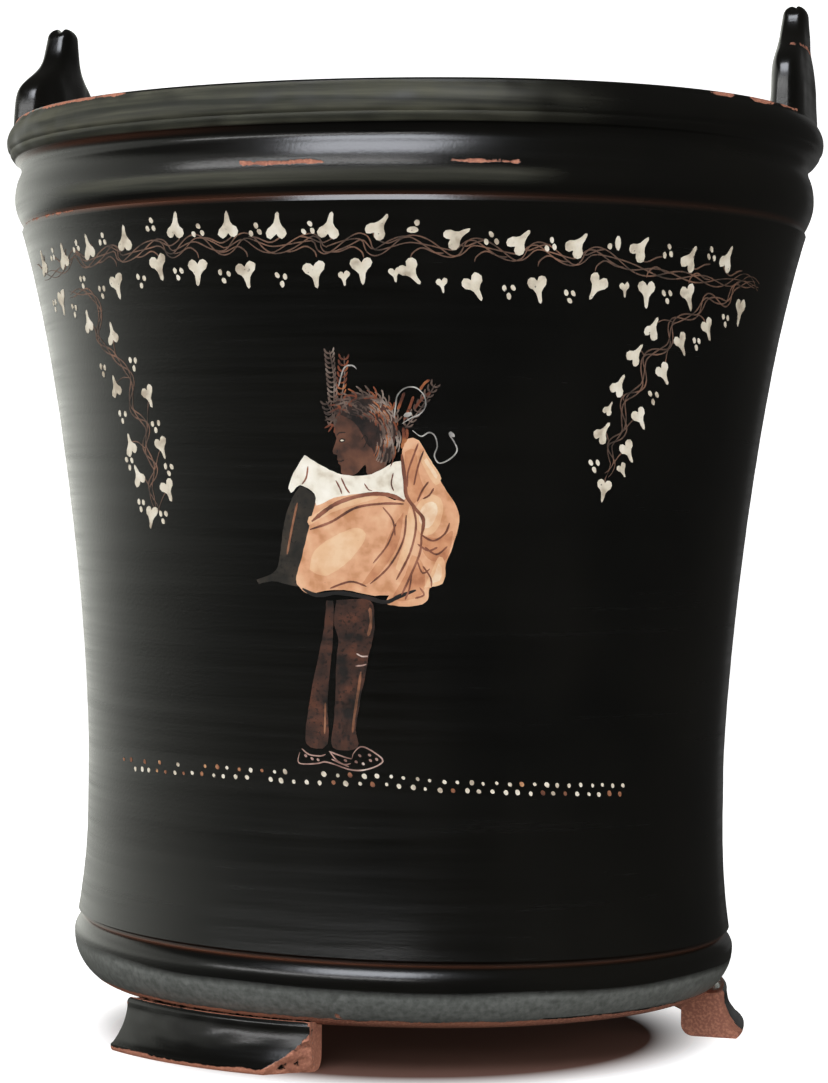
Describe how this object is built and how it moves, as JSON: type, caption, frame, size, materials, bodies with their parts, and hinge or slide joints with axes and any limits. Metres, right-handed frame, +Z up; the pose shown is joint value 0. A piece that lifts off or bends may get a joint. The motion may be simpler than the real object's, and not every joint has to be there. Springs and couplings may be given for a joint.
{
  "type": "situla",
  "caption": "Bucket-shaped vessel of black-glazed clay with a moulded rim, upright lugs, strip feet and painted ivy above a standing figure.",
  "frame": {"origin": "centre of the plane that the feet stand on, on the axis of the turned wall", "axes": "+Z up along the axis, lugs at -X and +X, painted front towards -Y"},
  "size_m": [0.202, 0.202, 0.25],
  "materials": {
    "black_gloss": "black clay slip fired to a gloss over orange clay, worn to the clay at the edges, with white, tan and brown slip painting"
  },
  "bodies": {
    "root": {"situla": "black_gloss"}
  },
  "joints": []
}
